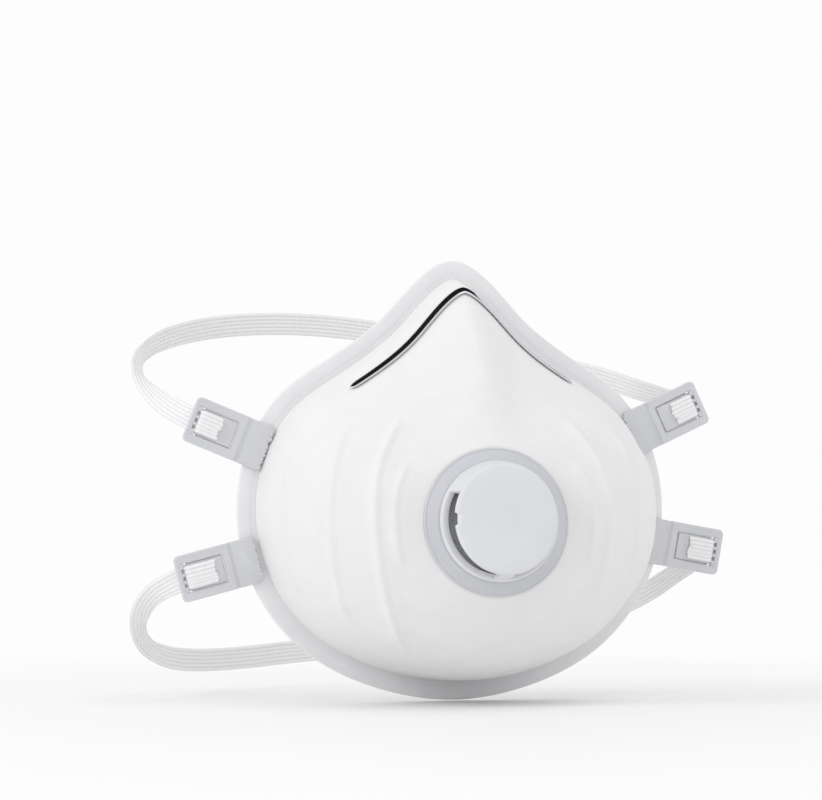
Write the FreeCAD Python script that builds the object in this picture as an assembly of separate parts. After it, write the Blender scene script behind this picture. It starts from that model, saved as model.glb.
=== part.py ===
"""Disposable dust mask: a six-layer moulded cup with an exhalation valve, four buckles and two straps.

Millimetres. +Z is up, the front faces -Y, and the cup stands on its chin edge at z = 0.
The flat rim's front face lies in the plane y = RIM_FRONT_Y, and the cup bulges forward of it.
"""
import FreeCAD, Part
import math
import os

from FreeCAD import Vector

# Rim and cup
RIM_FRONT_Y = 27.5
RIM_WIDTH = 6.0
RIM_THICKNESS = 1.2
RIM_HALF_OUTLINE = [
    (0, 0), (23, 3.7), (46, 15.5), (61.5, 36.5), (65.4, 57), (60, 79.5),
    (53, 89.5), (39, 100), (21.5, 113), (10, 125), (0, 130),
]
RING_COUNT = 9
RING_POINTS = 64
# How each part of the cup rises from the rim to the valve seat: the two middle control points of a
# cubic Bezier curve, as (share of the way to the seat, share of the cup's depth).
SIDE_RISE = ((0.0, 0.55), (0.45, 1.0))
NOSE_RISE = ((0.0, 0.42), (0.50, 0.62))
CHIN_RISE = ((0.0, 0.75), (0.25, 0.78))
LAYERS = ["outer_cover", "prefilter_felt", "filter_web_1", "filter_web_2", "support_felt", "inner_liner"]
LAYER_THICKNESS = 0.45
LAYER_PITCH = 0.55

# Valve, along its own axis: 0 is the outside of the cup, and outward is positive
SEAT_HEIGHT = 52.8
CUP_DEPTH = 45.0
VALVE_PITCH = 6.0
SEAT_RADIUS = 21.8
VALVE_HOLE_RADIUS = 13.35
VALVE_BASE_RADIUS = 21.3
COLLAR_RADIUS = 17.3
COVER_FOOT = 2.7
COVER_SHOULDER = 4.2
COVER_FACE_RADIUS = 14.6
COVER_FRONT = 11.7
COVER_WALL = 1.2
NECK_RADIUS = 13.2
NECK_WALL = 1.0
NECK_DEPTH = 5.4
BEAD_RADIUS = 11.6
BEAD_TOP = 3.6
HUB_RADIUS = 2.4
PIN_RADIUS = 1.0
PIN_FIT = 0.01
PIN_HEAD_RADIUS = 2.2
MEMBRANE_RADIUS = 12.4
MEMBRANE_THICKNESS = 0.4
MEMBRANE_LIFT = 1.2
FLOOR_LOW = 0.6
FLOOR_TOP = 1.6
VENT_BARS = 15
VENT_BAR_LOW = 5.7
VENT_START = 150.0
VENT_END = 262.0

# Nose clip and foam. The clip crosses the cup where it is this deep in front of the rim.
CLIP_WIDTH = 3.0
CLIP_THICKNESS = 0.8
CLIP_STATIONS = [-37.5, -32, -27, -22, -17, -12, -8, -4, 0, 4, 8, 12, 17, 22, 27, 34]
CLIP_DEPTH_AT_NOSE = 11.5
CLIP_DEPTH_AT_END = 15.7
FOAM_DROP = 3.0
FOAM_HALF_WIDTH = 24.0
FOAM_LOW_EDGE = 98.0
FOAM_NEAR = 2.0
FOAM_FAR = 12.0

# Buckles: outer end's place (x, z), and how far the outer end tips up from level
BUCKLES = {
    "upper_left": (-79.5, 83.0, 22.0),
    "upper_right": (77.4, 88.9, 25.0),
    "lower_left": (-82.9, 35.8, -14.5),
    "lower_right": (83.4, 43.0, -10.0),
}
BUCKLE_WIDTH = 13.7
BUCKLE_THICKNESS = 1.4
BUCKLE_LENGTH = 24.6
PLATE_LENGTH = 16.5
FOLD_AT = 17.5
FOLD_HEIGHT = 0.6
FOLD_BEAD_RADIUS = 0.35
TAB_START = 18.3
TAB_THICKNESS = 1.2
WINDOW_START = 1.9
WINDOW_END = 14.4
WINDOW_WIDTH = 8.6
FLAP_START = 3.3
FLAP_END = 13.9
FLAP_WIDTH = 7.8
FLAP_LOW = 0.2
FLAP_TOP = 1.2
LINK_WIDTH = 0.38

# Straps: flat ribbed elastic, standing on edge along its free run
STRAP_WIDTH = 7.0
STRAP_THICKNESS = 0.88
STRAP_SLOT_AT = 2.6
STRAP_OVER_END = 10.6
STRAP_BACK = 0.9
ARC_SHARE = 0.45
# Routes of the free runs as (x, distance behind the rim's front face, z)
STRAP_ROUTES = {
    "strap_upper": [
        (-77.1, 1.25, 82.0), (-83.5, 9, 85.8), (-87.6, 22, 91.8), (-88.2, 38, 98.2), (-83.5, 55, 104),
        (-73.5, 70.5, 109.2), (-56, 82, 113.5), (-32, 88.5, 115.3), (-6, 90.5, 113.8), (19, 89.5, 109.5),
        (41, 84, 104.8), (57, 72.5, 100.8), (65.5, 54, 97), (69, 34, 93.2), (72.3, 15.5, 90),
        (75.0, 1.25, 87.8),
    ],
    "strap_lower": [
        (-80.3, 1.25, 36.5), (-86.8, 8.5, 33.3), (-90, 20, 27), (-88, 35, 18.5), (-81, 49.5, 12.6),
        (-69.5, 62.5, 9.4), (-51, 73, 9.2), (-28, 79.5, 11.2), (-3, 82, 13), (22, 80, 15.3),
        (44, 73.5, 18.3), (61, 62.5, 22), (71, 47.5, 27), (74.5, 30, 32.5), (77, 14.5, 38.3),
        (80.8, 1.25, 43.5),
    ],
}

CUP_MIDDLE = Vector(0, RIM_FRONT_Y - CUP_DEPTH, SEAT_HEIGHT)
VALVE_UP = Vector(0, math.sin(math.radians(VALVE_PITCH)), math.cos(math.radians(VALVE_PITCH)))
VALVE_AXIS = Vector(0, -math.cos(math.radians(VALVE_PITCH)), math.sin(math.radians(VALVE_PITCH)))


def save(name, shape):
    solids = len(shape.Solids)
    shape.exportStep("parts/%s.step" % name)
    print("%-28s solids %2d  volume %9.2f mm3  valid %s" % (name, solids, shape.Volume, shape.isValid()))


def closed_curve(points):
    curve = Part.BSplineCurve()
    curve.interpolate(points, PeriodicFlag=True)
    return curve


def rim_curve():
    right = [Vector(x, 0, z) for x, z in RIM_HALF_OUTLINE]
    left = [Vector(-x, 0, z) for x, z in reversed(RIM_HALF_OUTLINE[1:-1])]
    return closed_curve(right + left)


def rim_samples(count):
    """Points evenly spaced along the outline, each with its outward direction."""
    curve = rim_curve()
    step = curve.length() / count
    samples = []
    for i in range(count):
        u = curve.parameterAtDistance(i * step, curve.FirstParameter)
        along = curve.tangent(u)[0]
        samples.append((curve.value(u), Vector(along.z, 0, -along.x)))
    return samples


def bezier(first, second, t):
    """Cubic Bezier from (0, 0) to (1, 1) by way of two control points."""
    a = 3 * (1 - t) ** 2 * t
    b = 3 * (1 - t) * t ** 2
    return a * first[0] + b * second[0] + t ** 3, a * first[1] + b * second[1] + t ** 3


def cup_point(root, t):
    """The cup's outside above the crease point root, at t = 0 on the rim and 1 on the valve seat."""
    angle = math.atan2(root.z - SEAT_HEIGHT, root.x)
    seat = CUP_MIDDLE + Vector(1, 0, 0) * (SEAT_RADIUS * math.cos(angle))
    seat = seat + VALVE_UP * (SEAT_RADIUS * math.sin(angle))
    nose = max(0.0, math.sin(angle)) ** 2
    chin = max(0.0, -math.sin(angle)) ** 2
    side = 1 - nose - chin
    controls = [
        [side * SIDE_RISE[i][j] + nose * NOSE_RISE[i][j] + chin * CHIN_RISE[i][j] for j in range(2)]
        for i in range(2)
    ]
    across, rise = bezier(controls[0], controls[1], t)
    return Vector(
        root.x + (seat.x - root.x) * across,
        RIM_FRONT_Y + (seat.y - RIM_FRONT_Y) * rise,
        root.z + (seat.z - root.z) * across,
    )


def cup_rings(depth_in):
    """Rings of the cup's surface, moved inward from the outside by depth_in."""
    samples = rim_samples(RING_POINTS)
    roots = [point - out * RIM_WIDTH for point, out in samples]
    rings = []
    for k in range(RING_COUNT):
        t = k / (RING_COUNT - 1)
        ring = []
        for i, root in enumerate(roots):
            here = cup_point(root, t)
            if k == 0:
                inward = -samples[i][1]
            elif k == RING_COUNT - 1:
                to_middle = (CUP_MIDDLE - here).normalize()
                inward = to_middle * 0.5 - VALVE_AXIS
            else:
                ahead = cup_point(roots[(i + 1) % RING_POINTS], t) - cup_point(roots[i - 1], t)
                climb = cup_point(root, t + 0.01) - cup_point(root, t - 0.01)
                inward = climb.cross(ahead).normalize()
                if inward.y < 0:
                    inward = -inward
            ring.append(here + inward * depth_in)
        rings.append(ring)
    return rings


def cup_block(depth_in):
    """The solid dome under the cup's surface at depth_in."""
    wires = [Part.Wire(closed_curve(ring).toShape()) for ring in cup_rings(depth_in)]
    dome = Part.makeLoft(wires, True, False)
    if depth_in:
        stub = Part.Face(wires[0]).extrude(Vector(0, RIM_THICKNESS, 0))
        dome = dome.fuse(stub)
    return dome


def valve_place(shape):
    """Move a piece modelled along +Z with +Y up to the valve's place on the cup."""
    frame = FreeCAD.Matrix(
        1, VALVE_UP.x, VALVE_AXIS.x, CUP_MIDDLE.x,
        0, VALVE_UP.y, VALVE_AXIS.y, CUP_MIDDLE.y,
        0, VALVE_UP.z, VALVE_AXIS.z, CUP_MIDDLE.z,
        0, 0, 0, 1,
    )
    return shape.transformed(frame, copy=True)


def turned(profile):
    """Solid of revolution about Z from (radius, height) corners."""
    corners = [Vector(r, 0, h) for r, h in profile]
    face = Part.Face(Part.makePolygon(corners + corners[:1]))
    return face.revolve(Vector(0, 0, 0), Vector(0, 0, 1), 360)


def cylinder(radius, low, high):
    return Part.makeCylinder(radius, high - low, Vector(0, 0, low))


def box(low, high):
    return Part.makeBox(high[0] - low[0], high[1] - low[1], high[2] - low[2], Vector(*low))


def make_layers():
    hole = valve_place(cylinder(VALVE_HOLE_RADIUS, -10, 2))
    for i, name in enumerate(LAYERS):
        outside = cup_block(i * LAYER_PITCH)
        inside = cup_block(i * LAYER_PITCH + LAYER_THICKNESS)
        if i:
            front = Part.makeBox(200, RIM_FRONT_Y + 100, 200, Vector(-100, -100, -30))
            outside = outside.common(front)
        save(name, outside.cut(inside).cut(hole))


def make_rim():
    samples = rim_samples(RING_POINTS)
    inset = RIM_WIDTH + LAYER_PITCH * len(LAYERS)
    outer = closed_curve([point for point, out in samples])
    inner = closed_curve([point - out * inset for point, out in samples])
    thick = Vector(0, RIM_THICKNESS, 0)
    ring = Part.Face(Part.Wire(outer.toShape())).extrude(thick)
    opening = Part.Face(Part.Wire(inner.toShape())).extrude(thick)
    ring = ring.cut(opening)
    ring.translate(Vector(0, RIM_FRONT_Y, 0))
    save("rim_band", ring)


def crease_above(x):
    """The crease point of the upper half at a given x."""
    points = [point - out * RIM_WIDTH for point, out in rim_samples(720)]
    upper = [p for p in points if p.z > SEAT_HEIGHT]
    return min(upper, key=lambda p: abs(p.x - x))


def rise_at_depth(root, depth):
    """The t at which the cup's outside is depth in front of the rim."""
    low, high = 0.0, 1.0
    for i in range(40):
        middle = (low + high) / 2
        if RIM_FRONT_Y - cup_point(root, middle).y < depth:
            low = middle
        else:
            high = middle
    return low


def cross_section(x, depth, width, near, far):
    """Four-cornered section of a strip that lies along the cup, near and far inward of its outside."""
    root = crease_above(x)
    t = rise_at_depth(root, depth)
    here = cup_point(root, t)
    climb = (cup_point(root, t + 0.02) - cup_point(root, t - 0.02)).normalize()
    beside = crease_above(x + 2) - crease_above(x - 2)
    inward = climb.cross(beside).normalize()
    if inward.y < 0:
        inward = -inward
    half = climb * (width / 2)
    corners = [here + inward * near - half, here + inward * near + half]
    corners += [here + inward * far + half, here + inward * far - half]
    return Part.makePolygon(corners + corners[:1])


def strip(stations, depth_at, width, near, far):
    sections = [cross_section(x, depth_at(abs(x) / stations[-1]), width, near, far) for x in stations]
    return Part.makeLoft(sections, True, False)


def make_nose_pieces():
    def clip_depth(share):
        return CLIP_DEPTH_AT_NOSE + (CLIP_DEPTH_AT_END - CLIP_DEPTH_AT_NOSE) * share

    clear = 0.25
    clip = strip(CLIP_STATIONS, clip_depth, CLIP_WIDTH, -clear - CLIP_THICKNESS, -clear)
    save("nose_clip", clip)
    dome = cup_block(LAYER_PITCH * len(LAYERS))
    lower = dome.copy()
    lower.translate(Vector(0, 0, -FOAM_DROP))
    under_clip = box(
        (-FOAM_HALF_WIDTH, RIM_FRONT_Y - FOAM_FAR, FOAM_LOW_EDGE),
        (FOAM_HALF_WIDTH, RIM_FRONT_Y - FOAM_NEAR, 130),
    )
    save("nose_foam", dome.cut(lower).common(under_clip))


def make_valve_base():
    inner = NECK_RADIUS - NECK_WALL
    body = turned([
        (inner, -NECK_DEPTH), (NECK_RADIUS, -NECK_DEPTH), (NECK_RADIUS, 0.1), (VALVE_BASE_RADIUS, 0.1),
        (VALVE_BASE_RADIUS, 0.9), (COLLAR_RADIUS + 0.2, 2.4), (COLLAR_RADIUS - 1.6, 2.4),
        (COLLAR_RADIUS - 1.6, FLOOR_TOP), (BEAD_RADIUS + 0.6, FLOOR_TOP), (BEAD_RADIUS, BEAD_TOP),
        (BEAD_RADIUS - 1.0, BEAD_TOP), (BEAD_RADIUS - 1.4, FLOOR_LOW), (inner, FLOOR_LOW),
    ])
    hub = cylinder(HUB_RADIUS, FLOOR_LOW, BEAD_TOP - 0.4)
    spokes = []
    for i in range(4):
        spoke = box((0, -0.6, FLOOR_LOW), (BEAD_RADIUS - 0.8, 0.6, FLOOR_TOP + 0.6))
        spoke.rotate(Vector(0, 0, 0), Vector(0, 0, 1), 45 + 90 * i)
        spokes.append(spoke)
    body = body.fuse([hub] + spokes).removeSplitter()
    body = body.cut(cylinder(PIN_RADIUS, FLOOR_LOW - 1, BEAD_TOP + 1))
    save("valve_base", valve_place(body))


def make_membrane():
    low = BEAD_TOP + 0.02
    disc = cylinder(MEMBRANE_RADIUS, low, low + MEMBRANE_THICKNESS)
    disc = disc.cut(cylinder(PIN_RADIUS + 0.3, low - 1, low + 1))
    save("valve_membrane", valve_place(disc))
    head = low + MEMBRANE_THICKNESS + MEMBRANE_LIFT + 0.05
    pin = cylinder(PIN_RADIUS - PIN_FIT, FLOOR_LOW + 0.1, head)
    pin = pin.fuse(cylinder(PIN_HEAD_RADIUS, head, head + 0.8)).removeSplitter()
    save("membrane_pin", valve_place(pin))


def sector(start, end, radius, low, high):
    wedge = Part.makeCylinder(radius, high - low, Vector(0, 0, low), Vector(0, 0, 1), end - start)
    wedge.rotate(Vector(0, 0, 0), Vector(0, 0, 1), start)
    return wedge


def make_valve_cover():
    inner = COLLAR_RADIUS - COVER_WALL
    face = COVER_FACE_RADIUS - COVER_WALL
    ceiling = COVER_FRONT - COVER_WALL
    shell = turned([
        (inner, COVER_FOOT - 0.2), (COLLAR_RADIUS, COVER_FOOT - 0.2), (COLLAR_RADIUS, COVER_SHOULDER),
        (COVER_FACE_RADIUS + 0.3, COVER_FRONT - 0.7), (COVER_FACE_RADIUS - 0.5, COVER_FRONT), (0, COVER_FRONT),
        (0, ceiling), (face, ceiling), (inner, COVER_SHOULDER),
    ])
    starts = [VENT_START, 180 - VENT_END]
    span = VENT_END - VENT_START
    bars = []
    for start in starts:
        vent = sector(start, start + span, COLLAR_RADIUS + 1, COVER_SHOULDER + 0.3, ceiling - 0.3)
        shell = shell.cut(vent.cut(cylinder(face - 1.2, 0, COVER_FRONT)))
        for i in range(VENT_BARS):
            bar = box((face - 1.6, -0.3, VENT_BAR_LOW), (face - 0.6, 0.3, ceiling + 0.2))
            bar.rotate(Vector(0, 0, 0), Vector(0, 0, 1), start + span * (i + 0.5) / VENT_BARS)
            bars.append(bar)
    save("valve_cover", valve_place(shell.fuse(bars).removeSplitter()))


def make_retainer():
    back = -LAYER_PITCH * len(LAYERS) - 0.1
    bore = NECK_RADIUS + 0.05
    ring = turned([(bore, back - 1.8), (17.0, back - 1.8), (18.6, back - 0.8), (18.6, back), (bore, back)])
    save("valve_retainer", valve_place(ring))


def buckle_place(shape, name):
    """Move a piece from the buckle's own axes: x inward from its outer end, y across, z to the front."""
    x, z, tip = BUCKLES[name]
    side = 1 if x > 0 else -1
    tilt = math.radians(tip)
    inward = Vector(-side * math.cos(tilt), 0, -math.sin(tilt))
    front = Vector(0, -1, 0)
    across = front.cross(inward)
    frame = FreeCAD.Matrix(
        inward.x, across.x, front.x, x,
        inward.y, across.y, front.y, RIM_FRONT_Y,
        inward.z, across.z, front.z, z,
        0, 0, 0, 1,
    )
    return shape.transformed(frame, copy=True)


def rounded_plate(start, end, width, low, high, corner):
    plate = box((start, -width / 2, low), (end, width / 2, high))
    upright = [e for e in plate.Edges if abs(e.tangentAt(e.FirstParameter).z) > 0.9]
    return plate.makeFillet(corner, upright)


def make_buckle(name):
    half = BUCKLE_WIDTH / 2
    plate = rounded_plate(0, PLATE_LENGTH, BUCKLE_WIDTH, 0, BUCKLE_THICKNESS, 2.0)
    lip = box((PLATE_LENGTH - 0.5, -half + 2, 0.3), (FOLD_AT - FOLD_BEAD_RADIUS - 0.1, half - 2, 0.9))
    window = rounded_plate(WINDOW_START, WINDOW_END, WINDOW_WIDTH, -1, 3, 0.4)
    plate = plate.fuse(lip).removeSplitter().cut(window)
    save("buckle_plate_" + name, buckle_place(plate, name))

    tab = rounded_plate(TAB_START, BUCKLE_LENGTH, BUCKLE_WIDTH, 0.02, TAB_THICKNESS, 1.5)
    bead_start = Vector(FOLD_AT, -half + 2, FOLD_HEIGHT)
    bead = Part.makeCylinder(FOLD_BEAD_RADIUS, BUCKLE_WIDTH - 4, bead_start, Vector(0, 1, 0))
    web = box((FOLD_AT, -half + 2, FOLD_HEIGHT - 0.2), (TAB_START + 0.5, half - 2, FOLD_HEIGHT + 0.2))
    save("buckle_tab_" + name, buckle_place(tab.fuse([web, bead]).removeSplitter(), name))

    flap = rounded_plate(FLAP_START, FLAP_END, FLAP_WIDTH, FLAP_LOW, FLAP_TOP, 0.3)
    links = []
    for side in (-1, 1):
        outer = side * FLAP_WIDTH / 2
        inner = side * (FLAP_WIDTH / 2 - LINK_WIDTH)
        low, high = min(outer, inner), max(outer, inner)
        links.append(box((WINDOW_START + 0.15, low, 0.45), (FLAP_START + 0.6, high, 0.95)))
    save("buckle_flap_" + name, buckle_place(flap.fuse(links).removeSplitter(), name))

    half_strap = STRAP_WIDTH / 2
    start = STRAP_SLOT_AT - STRAP_THICKNESS / 2
    top = FLAP_TOP + 0.02 + STRAP_THICKNESS
    leg = box((start, -half_strap, -STRAP_BACK), (start + STRAP_THICKNESS, half_strap, top))
    over = box((start, -half_strap, top - STRAP_THICKNESS), (STRAP_OVER_END, half_strap, top))
    save("strap_end_" + name, buckle_place(leg.fuse(over).removeSplitter(), name))


def route_wire(points):
    """Straight runs joined by tangent arcs. Returns the wire and the arcs' radii."""
    edges, radii = [], []
    start = points[0]
    for i in range(1, len(points) - 1):
        here = points[i]
        back, ahead = points[i - 1] - here, points[i + 1] - here
        reach = ARC_SHARE * min(back.Length, ahead.Length)
        turn = math.pi - back.getAngle(ahead)
        radii.append(reach / math.tan(turn / 2))
        back.normalize()
        ahead.normalize()
        enter, leave = here + back * reach, here + ahead * reach
        inward = (back + ahead).normalize()
        to_centre = radii[-1] / math.cos(turn / 2)
        middle = here + inward * (to_centre - radii[-1])
        edges.append(Part.LineSegment(start, enter).toShape())
        edges.append(Part.Arc(enter, middle, leave).toShape())
        start = leave
    edges.append(Part.LineSegment(start, points[-1]).toShape())
    return Part.Wire(edges), radii


def make_strap(name):
    points = [Vector(x, RIM_FRONT_Y + back, z) for x, back, z in STRAP_ROUTES[name]]
    wire, radii = route_wire(points)
    first = (points[1] - points[0]).normalize()
    up = Vector(0, 0, 1)
    flat = up.cross(first).normalize() * (STRAP_THICKNESS / 2)
    tall = up * (STRAP_WIDTH / 2)
    corners = [points[0] + spot for spot in (flat + tall, tall - flat, -flat - tall, flat - tall)]
    section = Part.makePolygon(corners + corners[:1])
    sweep = Part.BRepOffsetAPI.MakePipeShell(wire)
    sweep.setBiNormalMode(up)
    sweep.add(section)
    sweep.build()
    sweep.makeSolid()
    strap = sweep.shape()
    print("%s length %.1f, radii %s" % (name, wire.Length, [round(r) for r in radii]))
    print("  volume over section x length %.3f" % (strap.Volume / (wire.Length * STRAP_WIDTH * STRAP_THICKNESS)))
    save(name, strap)


def main():
    os.makedirs("parts", exist_ok=True)
    make_layers()
    make_rim()
    make_nose_pieces()
    make_valve_base()
    make_membrane()
    make_valve_cover()
    make_retainer()
    for name in BUCKLES:
        make_buckle(name)
    for name in STRAP_ROUTES:
        make_strap(name)


main()
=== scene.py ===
# Disposable dust mask built round its CAD frame. Sizes are millimetres, and routes are metres.
import math
from functools import partial

import bmesh
import bpy
import numpy as np
from mathutils import Matrix, Vector


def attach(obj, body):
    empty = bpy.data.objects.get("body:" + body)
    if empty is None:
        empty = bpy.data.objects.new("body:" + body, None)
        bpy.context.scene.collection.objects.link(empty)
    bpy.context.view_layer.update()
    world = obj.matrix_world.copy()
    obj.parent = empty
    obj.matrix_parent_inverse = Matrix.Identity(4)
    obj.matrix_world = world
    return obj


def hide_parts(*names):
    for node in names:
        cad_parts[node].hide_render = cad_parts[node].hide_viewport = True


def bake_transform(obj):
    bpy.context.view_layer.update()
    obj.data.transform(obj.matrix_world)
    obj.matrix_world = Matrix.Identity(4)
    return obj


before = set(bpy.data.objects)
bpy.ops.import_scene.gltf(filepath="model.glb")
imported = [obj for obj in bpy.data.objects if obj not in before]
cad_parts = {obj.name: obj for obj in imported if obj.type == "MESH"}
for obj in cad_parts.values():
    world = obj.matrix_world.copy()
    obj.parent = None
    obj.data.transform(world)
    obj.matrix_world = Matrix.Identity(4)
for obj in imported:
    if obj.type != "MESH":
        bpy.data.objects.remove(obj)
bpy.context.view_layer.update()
mm = 0.001
scene = bpy.context.scene
viewLayer = bpy.context.view_layer


def rgb(code):  # sRGB hex to linear
    parts = [int(code[i:i + 2], 16) / 255 for i in (0, 2, 4)]
    return [p / 12.92 if p <= 0.04045 else ((p + 0.055) / 1.055) ** 2.4 for p in parts] + [1.0]


def addNode(tree, kind, links=None, **settings):  # links take a socket or a plain value
    node = tree.nodes.new(kind)
    for key, value in settings.items():
        setattr(node, key, value)
    for name, source in (links or {}).items():
        socket = node.inputs[name]
        if isinstance(source, bpy.types.NodeSocket):
            tree.links.new(source, socket)
        else:
            socket.default_value = source
    return node


def firstOut(tree, kind, links=None, **settings):
    return addNode(tree, kind, links, **settings).outputs[0]


def mathNode(tree, operation, *values):
    return firstOut(tree, "ShaderNodeMath", dict(enumerate(values)), operation=operation)


def startMaterial(name, sockets):
    material = bpy.data.materials.new(name)
    material.use_nodes = True
    tree = material.node_tree
    tree.nodes.clear()
    shader = addNode(tree, "ShaderNodeBsdfPrincipled", sockets)
    addNode(tree, "ShaderNodeOutputMaterial", {"Surface": shader.outputs[0]})
    place = addNode(tree, "ShaderNodeTexCoord").outputs["Object"]
    return material, tree, shader, place


def noise(tree, place, scale, detail, distortion=0.0):
    return firstOut(tree, "ShaderNodeTexNoise", {
        "Vector": place, "Scale": scale, "Detail": detail, "Distortion": distortion})


def remap(tree, value, low, high, newLow, newHigh):
    return firstOut(tree, "ShaderNodeMapRange", {0: value, 1: low, 2: high, 3: newLow, 4: newHigh})


def tint(tree, shader, share, shade, light):
    tone = addNode(tree, "ShaderNodeMix", {0: share, 6: rgb(shade), 7: rgb(light)}, data_type="RGBA")
    tree.links.new(tone.outputs[2], shader.inputs["Base Color"])


def emboss(tree, shader, height, strength, depth):
    bump = firstOut(tree, "ShaderNodeBump", {"Height": height, "Strength": strength, "Distance": depth})
    tree.links.new(bump, shader.inputs["Normal"])


def finishMesh(name, points, faces, material, sharp=None):
    mesh = bpy.data.meshes.new(name)
    mesh.from_pydata((np.asarray(points, float) * mm).tolist(), [], [list(f) for f in faces])
    work = bmesh.new()
    work.from_mesh(mesh)
    bmesh.ops.remove_doubles(work, verts=work.verts, dist=1e-6)
    bmesh.ops.recalc_face_normals(work, faces=work.faces)
    work.to_mesh(mesh)
    work.free()
    mesh.shade_smooth()
    if sharp:
        mesh.set_sharp_from_angle(angle=math.radians(sharp))
    mesh.materials.append(material)
    piece = bpy.data.objects.new(name, mesh)
    scene.collection.objects.link(piece)
    return piece


def settle(piece, body, slot, *nodes):
    if nodes:
        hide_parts(*nodes)
    if body:
        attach(piece, body)
    return piece


def joined(parts):  # several closed shells as one list of points and faces
    points, faces = [], []
    for somePoints, someFaces in parts:
        base = len(points)
        points += [list(p) for p in somePoints]
        faces += [[i + base for i in f] for f in someFaces]
    return points, faces


def gridFaces(rows, columns, around=True, wrapRows=False):
    faces = []
    for r in range(rows if wrapRows else rows - 1):
        for c in range(columns if around else columns - 1):
            a, b = r * columns + c, r * columns + (c + 1) % columns
            up = (r + 1) % rows * columns
            faces.append([a, b, up + (c + 1) % columns, up + c])
    return faces


def stacked(loops, ring=False):  # loops of equal length, joined into one closed solid
    count = len(loops[0])
    points = [p for loop in loops for p in loop]
    faces = gridFaces(len(loops), count, True, ring)
    if not ring:
        faces += [list(range(count)), list(range(len(points) - count, len(points)))]
    return points, faces


def card(name, left, right, front, back, height, paint):  # a flat sheet for the studio
    corners = [(left, front, height), (right, front, height), (right, back, height), (left, back, height)]
    piece = finishMesh(name, corners, [[0, 1, 2, 3]], paint)
    return piece


def newTree(name, **inputs):  # inputs: name -> socket kind
    tree = bpy.data.node_groups.new(name, "GeometryNodeTree")
    tree.interface.new_socket("Geometry", in_out="INPUT", socket_type="NodeSocketGeometry")
    for label, kind in inputs.items():
        tree.interface.new_socket(label, in_out="INPUT", socket_type="NodeSocket" + kind)
    tree.interface.new_socket("Geometry", in_out="OUTPUT", socket_type="NodeSocketGeometry")
    given = addNode(tree, "NodeGroupInput").outputs
    return tree, given, partial(firstOut, tree), partial(mathNode, tree)


def closeTree(tree, geometry, material):
    real = firstOut(tree, "GeometryNodeRealizeInstances", {0: geometry})
    smooth = firstOut(tree, "GeometryNodeSetShadeSmooth", {0: real})
    painted = firstOut(tree, "GeometryNodeSetMaterial", {0: smooth, "Material": material})
    addNode(tree, "NodeGroupOutput", {0: painted})


def baked(holder):  # the mesh that an object's modifiers make
    viewLayer.update()
    graph = bpy.context.evaluated_depsgraph_get()
    return bpy.data.meshes.new_from_object(holder.evaluated_get(graph), depsgraph=graph)


def grow(name, tree, values, mesh=None):  # runs a tree once and keeps its mesh
    holder = bpy.data.objects.new(name + "Seed", mesh or bpy.data.meshes.new(name + "Seed"))
    scene.collection.objects.link(holder)
    modifier = holder.modifiers.new("grow", "NODES")
    modifier.node_group = tree
    for item in tree.interface.items_tree:
        if item.item_type == "SOCKET" and item.in_out == "INPUT" and item.name in values:
            modifier[item.identifier] = values[item.name]
    made = baked(holder)
    bpy.data.objects.remove(holder)
    piece = bpy.data.objects.new(name, made)
    made.name = name
    scene.collection.objects.link(piece)
    return piece


def ribbonTree():  # a band swept along the seed's edges, with lengthwise ribs on both faces
    tree, given, put, calc = newTree(
        "ribbedBand", width="Float", thickness="Float", ribs="Int", ribDepth="Float", edge="Float",
        sides="Int", material="Material")
    times, less = partial(calc, "MULTIPLY"), partial(calc, "SUBTRACT")
    wide = put("GeometryNodeInputNamedAttribute", {"Name": "wide"}, data_type="FLOAT_VECTOR")
    path = put("GeometryNodeMeshToCurve", {0: given["Geometry"]})
    path = put("GeometryNodeSetCurveNormal", {"Curve": path, "Normal": wide}, mode="FREE")
    loop = put("GeometryNodeCurvePrimitiveCircle", {"Resolution": given["sides"], "Radius": 1.0})
    share = put("GeometryNodeSplineParameter")
    fold = calc("ABSOLUTE", less(share, 0.5))
    across = less(1.0, times(fold, 4.0))  # -1 to 1 and back
    side = less(times(calc("LESS_THAN", share, 0.5), 2.0), 1.0)
    edge = calc("POWER", calc("ABSOLUTE", across), given["edge"])
    body = calc("SQRT", calc("MAXIMUM", less(1.0, edge), 0.0))
    turn = times(calc("ADD", across, 1.0), math.pi)
    wave = calc("COSINE", times(turn, given["ribs"]))
    groove = times(calc("ADD", wave, 1.0), 0.5)
    rib = less(1.0, times(times(groove, groove), given["ribDepth"]))
    halfWidth = times(given["width"], 0.5)
    halfThick = times(given["thickness"], 0.5)
    height = times(times(times(body, rib), side), halfThick)
    spot = put("ShaderNodeCombineXYZ", {0: times(across, halfWidth), 1: height})
    profile = put("GeometryNodeSetPosition", {"Geometry": loop, "Position": spot})
    band = put("GeometryNodeCurveToMesh", {"Curve": path, "Profile Curve": profile, "Fill Caps": True})
    closeTree(tree, band, given["material"])
    return tree


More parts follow.
